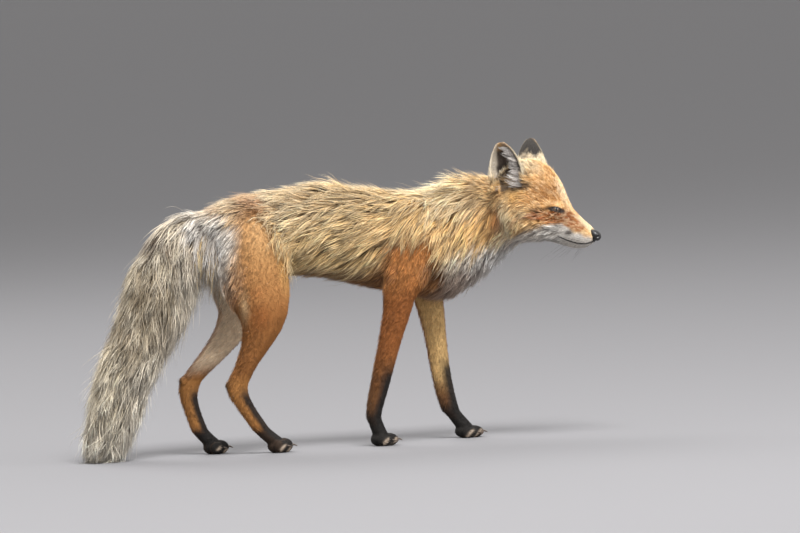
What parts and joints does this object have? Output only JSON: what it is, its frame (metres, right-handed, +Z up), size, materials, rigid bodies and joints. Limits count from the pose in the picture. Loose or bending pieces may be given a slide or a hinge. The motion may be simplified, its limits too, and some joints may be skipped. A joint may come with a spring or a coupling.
{
  "type": "red fox",
  "caption": "Life-size red fox caught in a slow walk, in a ragged straw and rust summer coat, with dark stockings and a full pale tail hanging down.",
  "frame": {"origin": "centre of the bounding box at floor level, under the middle of the animal", "axes": "+X towards the nose along the body, +Y to the animal's left, +Z up; metres"},
  "size_m": [0.8062, 0.182, 0.4601],
  "materials": {
    "coat_straw": "long straw-coloured guard hair in wavy clumps over a dark grey undercoat",
    "coat_rust": "short dense rust-orange fur",
    "coat_brush": "long soft grey-cream tail hair, dark at some tips",
    "coat_shank": "short sleek orange-brown fur that darkens downwards",
    "coat_stocking": "short sleek black-brown fur, with dull dark horn at the claws",
    "ear_hide": "velvety black-brown ear backs with pale hair inside",
    "nose_leather": "moist pebbled black nose leather",
    "eye": "wet, polished, dark amber"
  },
  "bodies": {
    "root": {"trunk": "coat_straw", "neck": "coat_straw", "head": "coat_rust", "nose": "nose_leather", "tail": "coat_brush", "eye_right": "eye", "eye_left": "eye", "ear_right": "ear_hide", "ear_left": "ear_hide", "thigh_right": "coat_rust", "thigh_left": "coat_rust", "hind_shank_right": "coat_shank", "hind_shank_left": "coat_shank", "hind_paw_right": "coat_stocking", "hind_paw_left": "coat_stocking", "shoulder_right": "coat_rust", "shoulder_left": "coat_rust", "forearm_right": "coat_shank", "forearm_left": "coat_shank", "fore_paw_right": "coat_stocking", "fore_paw_left": "coat_stocking"}
  },
  "joints": []
}
